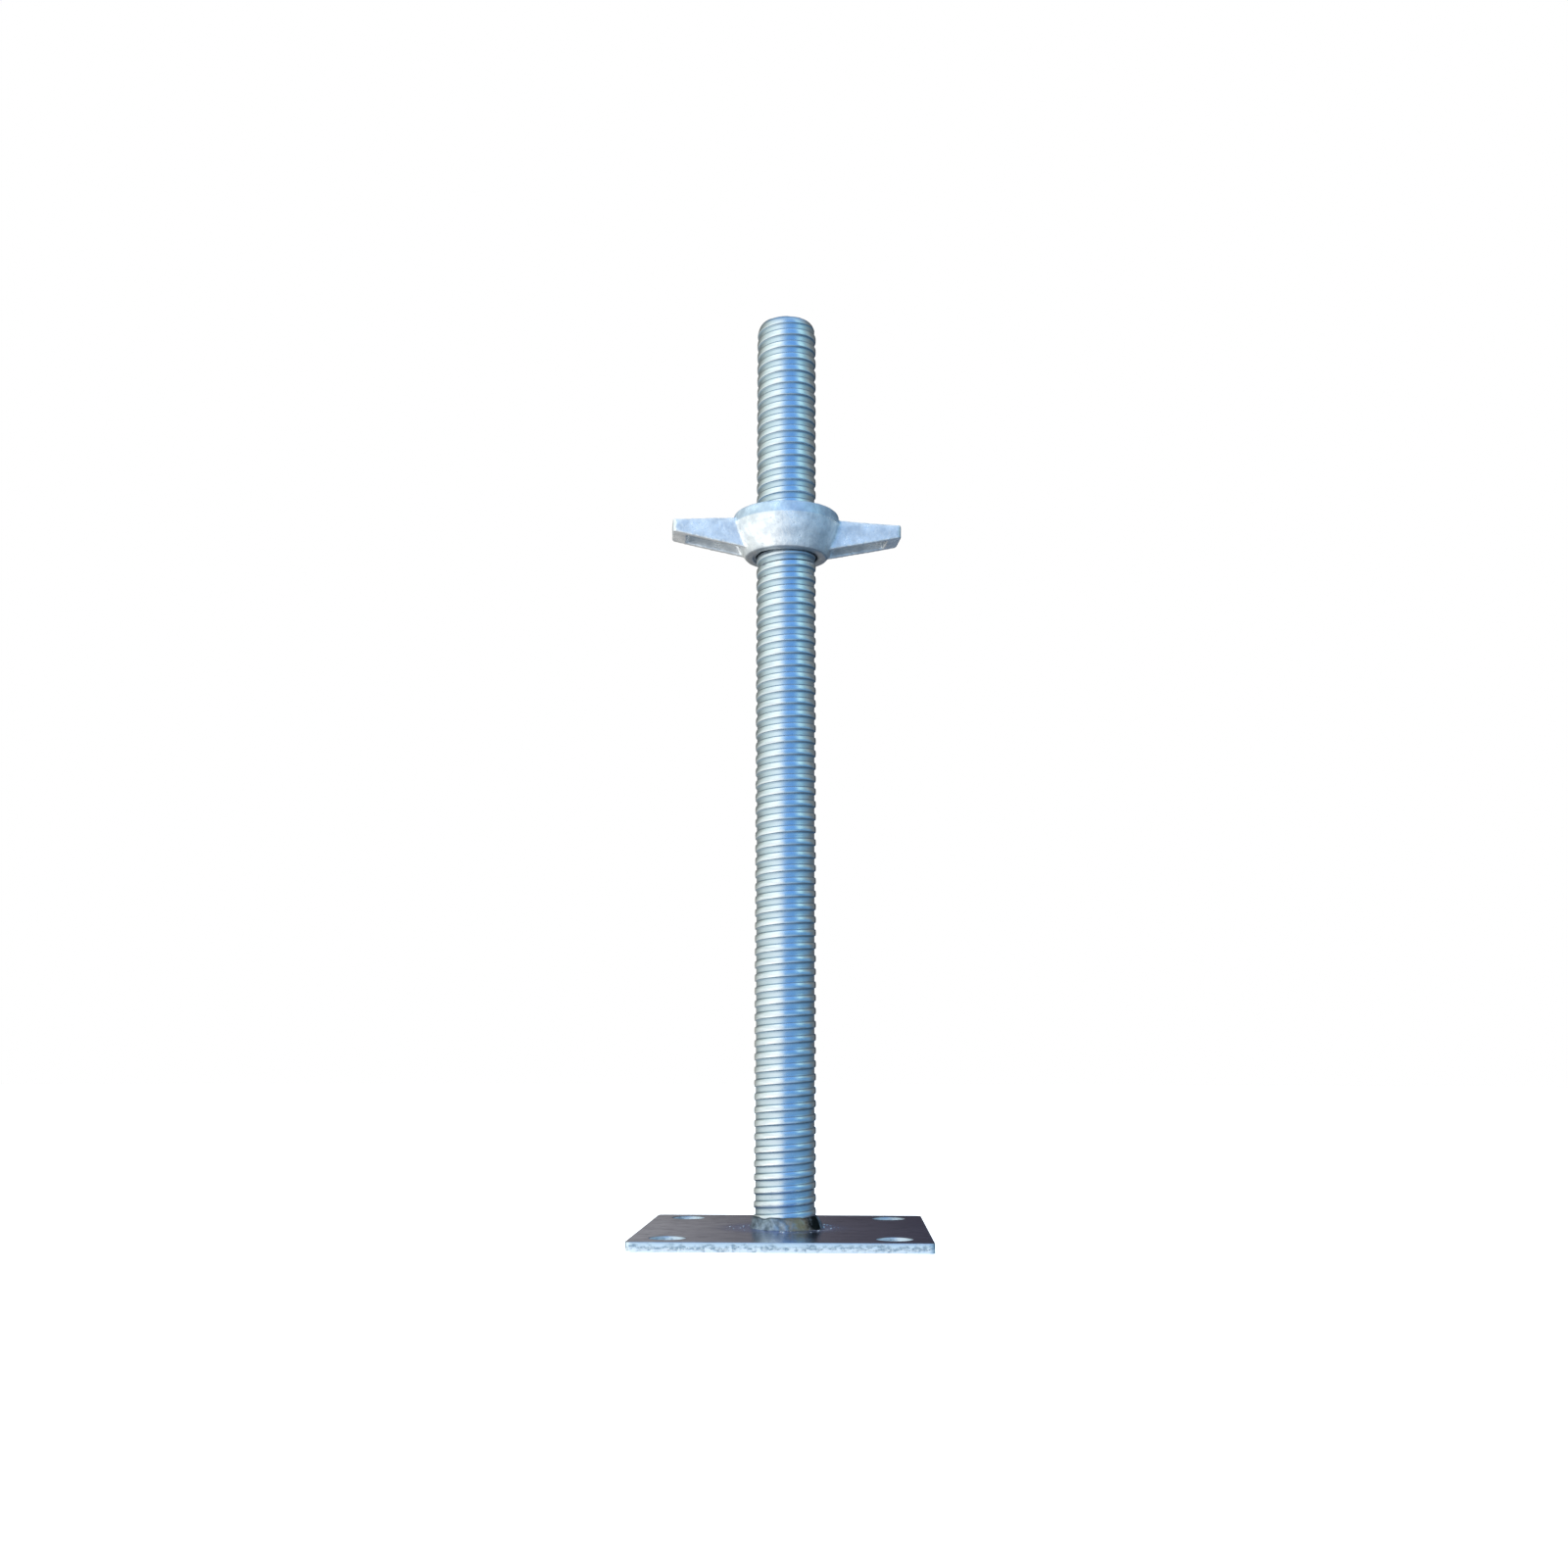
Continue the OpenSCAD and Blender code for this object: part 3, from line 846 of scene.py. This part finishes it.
def spatterTree(name, values):
    # beads thrown from the weld: many close to it, few far away
    tree = bpy.data.node_groups.new(name, "GeometryNodeTree")
    number, whole = "NodeSocketFloat", "NodeSocketInt"
    given = groupInputs(tree, [
        ("Count", whole, values["spatter"]),
        ("Inner Radius", number, crestRadius + values["width"]),
        ("Reach", number, values["spatterReach"]),
        ("Bead Size", number, values["spatterSize"]),
        ("Height", number, plateHigh.z),
        ("Seed", whole, values["seed"]),
        ("Material", "NodeSocketMaterial", None),
    ])

    def chance(low, high, shift):
        seed = mathNode(tree, "ADD", given["Seed"], shift)
        inputs = {2: low, 3: high, "Seed": seed}
        return addNode(tree, "FunctionNodeRandomValue", inputs, data_type="FLOAT").outputs[1]

    turn = chance(0.0, 2 * math.pi, 0)
    thrown = mathNode(tree, "POWER", chance(0.0, 1.0, 1), 2.2)
    flight = multiply(tree, thrown, given["Reach"])
    radius = mathNode(tree, "ADD", given["Inner Radius"], flight)
    place = addNode(tree, "ShaderNodeCombineXYZ", {
        0: multiply(tree, radius, mathNode(tree, "COSINE", turn)),
        1: multiply(tree, radius, mathNode(tree, "SINE", turn)),
        2: given["Height"],
    })
    points = addNode(tree, "GeometryNodePoints", {"Count": given["Count"], "Position": place})
    drop = addNode(tree, "GeometryNodeMeshIcoSphere", {"Radius": given["Bead Size"], "Subdivisions": 2})
    # small beads are commoner than large ones, and all are a little flattened
    size = mathNode(tree, "ADD", mathNode(tree, "POWER", chance(0.0, 1.0, 2), 2.0), 0.3)
    flattened = multiply(tree, size, 0.7)
    scale = addNode(tree, "ShaderNodeCombineXYZ", {0: size, 1: size, 2: flattened})
    placed = addNode(tree, "GeometryNodeInstanceOnPoints", {
        "Points": points, "Instance": drop, "Scale": scale})
    return endTree(tree, placed, given["Material"])


footWeld = makeWeld(weldValues, weldMetal("weldMetal", weldValues["colours"], weldValues))
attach(footWeld, "jack")
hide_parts("foot_weld")

weldSpatter = pieceFromTree("weldSpatter", spatterTree("spatter", weldValues), {
    "Material": weldMetal("spatterMetal", weldValues["spatterColours"], weldValues),
})
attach(weldSpatter, "jack")
print("weld:", len(footWeld.data.polygons), "faces, spatter:", len(weldSpatter.data.polygons))


# Stage: a white floor without a horizon, rings of soft cards round it and two soft lights

stageValues = {
    "floorRadius": 8.0,
    "floorColour": (0.88, 0.89, 0.9, 1),
    "floorGlow": 0.85,
    "skyColour": (0.30, 0.50, 0.78, 1),
    "groundColour": (0.34, 0.42, 0.50, 1),
    # Rows of cards, from the lowest up. A card's place is in degrees round from the front,
    # positive to the right, and is followed by its colour.
    "cardRows": [
        [
            (-180, (0.36, 0.34, 0.32)),
            (-162, (0.44, 0.42, 0.40)),
            (-130, (0.66, 0.70, 0.69)),
            (-100, (0.80, 0.84, 0.82)),
            (-78, (1.20, 1.27, 1.26)),
            (-50, (1.50, 1.53, 1.50)),
            (-26, (1.12, 1.16, 1.18)),
            (-9, (0.68, 0.78, 0.88)),
            (4, (0.42, 0.61, 0.84)),
            (45, (0.28, 0.44, 0.62)),
            (75, (0.14, 0.21, 0.28)),
            (110, (0.11, 0.19, 0.28)),
            (148, (0.05, 0.07, 0.09)),
            (166, (0.10, 0.22, 0.40)),
            (180, (0.36, 0.34, 0.32)),
        ],
        [
            (-180, (0.12, 0.11, 0.13)),
            (-178, (0.18, 0.17, 0.18)),
            (-173, (0.47, 0.46, 0.43)),
            (-156, (0.42, 0.42, 0.39)),
            (-138, (0.38, 0.42, 0.40)),
            (-118, (0.60, 0.68, 0.66)),
            (-100, (0.86, 0.95, 0.94)),
            (-26, (1.04, 1.12, 1.14)),
            (-9, (0.84, 0.96, 1.04)),
            (1, (0.20, 0.45, 0.79)),
            (20, (0.17, 0.41, 0.75)),
            (60, (0.13, 0.35, 0.67)),
            (100, (0.14, 0.31, 0.52)),
            (118, (0.12, 0.19, 0.25)),
            (140, (0.16, 0.18, 0.19)),
            (156, (0.07, 0.075, 0.09)),
            (176, (0.035, 0.032, 0.06)),
            (180, (0.12, 0.11, 0.13)),
        ],
        [
            (-180, (0.10, 0.095, 0.11)),
            (-173, (0.28, 0.27, 0.27)),
            (-142, (0.20, 0.22, 0.21)),
            (-126, (0.27, 0.31, 0.30)),
            (-104, (0.50, 0.57, 0.55)),
            (-86, (0.72, 0.86, 0.85)),
            (-62, (0.92, 1.08, 1.08)),
            (-40, (1.08, 1.23, 1.25)),
            (-26, (1.08, 1.22, 1.26)),
            (-14, (0.66, 0.90, 1.14)),
            (0, (0.26, 0.53, 0.94)),
            (12, (0.18, 0.43, 0.90)),
            (34, (0.16, 0.40, 0.87)),
            (46, (0.29, 0.58, 0.90)),
            (54, (0.56, 0.92, 1.05)),
            (66, (0.48, 0.82, 0.94)),
            (77, (0.28, 0.48, 0.58)),
            (95, (0.29, 0.37, 0.40)),
            (112, (0.18, 0.21, 0.22)),
            (140, (0.15, 0.17, 0.18)),
            (165, (0.05, 0.055, 0.07)),
            (180, (0.10, 0.095, 0.11)),
        ],
    ],
    # degrees up between which each row gives way to the next one, and the last to the sky
    "blends": [(-14, -3), (3, 10), (40, 75)],
    "groundBlend": (-42, -75),  # and the lowest row to the ground
    # name, colour, power, size, place and the point that it faces
    "lights": [
        ("topLight", (1, 1, 1), 30, (2.0, 2.0), (-0.3, -0.2, 2.4), (0, 0, 0.2)),
        ("sideLight", (1, 1, 0.98), 15, (1.0, 1.0), (-0.9, -1.0, 0.25), (0, 0, 0.35)),
    ],
}


def makeFloor(values):
    bpy.ops.mesh.primitive_circle_add(vertices=96, radius=values["floorRadius"], fill_type="NGON")
    floor = bpy.context.object
    floor.name = "floor"
    material, _, shader, _ = newMaterial("floorPaper", metallic=0.0)
    shader.inputs["Base Color"].default_value = values["floorColour"]
    shader.inputs["Roughness"].default_value = 1.0
    shader.inputs["Specular IOR Level"].default_value = 0.0
    shader.inputs["Emission Color"].default_value = (1, 1, 1, 1)
    shader.inputs["Emission Strength"].default_value = values["floorGlow"]
    floor.data.materials.append(material)
    floor.visible_glossy = False
    floor.visible_diffuse = False


def softbox(name, colour, power, size, place, aim):
    data = bpy.data.lights.new(name, "AREA")
    data.shape = "RECTANGLE"
    data.size, data.size_y = size
    data.energy = power
    data.color = colour
    lamp = bpy.data.objects.new(name, data)
    lamp.location = place
    lamp.rotation_euler = (Vector(aim) - Vector(place)).to_track_quat("-Z", "Y").to_euler()
    lamp.visible_glossy = False
    scene.collection.objects.link(lamp)


def makeWorld(values):
    world = bpy.data.worlds.new("studio")
    world.use_nodes = True
    tree = world.node_tree
    tree.nodes.clear()
    toward = addNode(tree, "ShaderNodeTexCoord").outputs["Generated"]
    axes = addNode(tree, "ShaderNodeSeparateXYZ", {0: toward})
    front = multiply(tree, axes.outputs[1], -1.0)
    bearing = mapRange(tree, mathNode(tree, "ARCTAN2", axes.outputs[0], front), -math.pi, math.pi)
    height = mathNode(tree, "ARCSINE", axes.outputs[2])
    layers = []
    for row in values["cardRows"]:
        ramp = addNode(tree, "ShaderNodeValToRGB", {0: bearing})
        stops = ramp.color_ramp.elements
        stops.remove(stops[0])
        for i, (degrees, colour) in enumerate(row):
            position = (degrees + 180) / 360
            stop = stops[0] if i == 0 else stops.new(position)
            stop.position = position
            stop.color = (*colour, 1)
        layers.append(ramp.outputs[0])
    layers.append(values["skyColour"])
    cards = layers[0]
    for (low, high), layer in zip(values["blends"], layers[1:]):
        share = mapRange(tree, height, math.radians(low), math.radians(high), smooth=True)
        cards = mixColour(tree, share, cards, layer)
    low, high = values["groundBlend"]
    toGround = mapRange(tree, height, math.radians(low), math.radians(high), smooth=True)
    cards = mixColour(tree, toGround, cards, values["groundColour"])
    # the camera sees plain white behind the object, and the object mirrors the cards
    ray = addNode(tree, "ShaderNodeLightPath")
    seen = addNode(tree, "ShaderNodeBackground", {"Color": (1, 1, 1, 1), "Strength": 1.0})
    fill = addNode(tree, "ShaderNodeBackground", {"Color": cards, "Strength": 1.0})
    mix = addNode(tree, "ShaderNodeMixShader", {0: ray.outputs["Is Camera Ray"], 1: fill, 2: seen})
    out = addNode(tree, "ShaderNodeOutputWorld")
    tree.links.new(mix.outputs[0], out.inputs[0])
    scene.world = world


makeFloor(stageValues)
for light in stageValues["lights"]:
    softbox(*light)
makeWorld(stageValues)
scene.view_settings.view_transform = "Standard"
print("stage set")
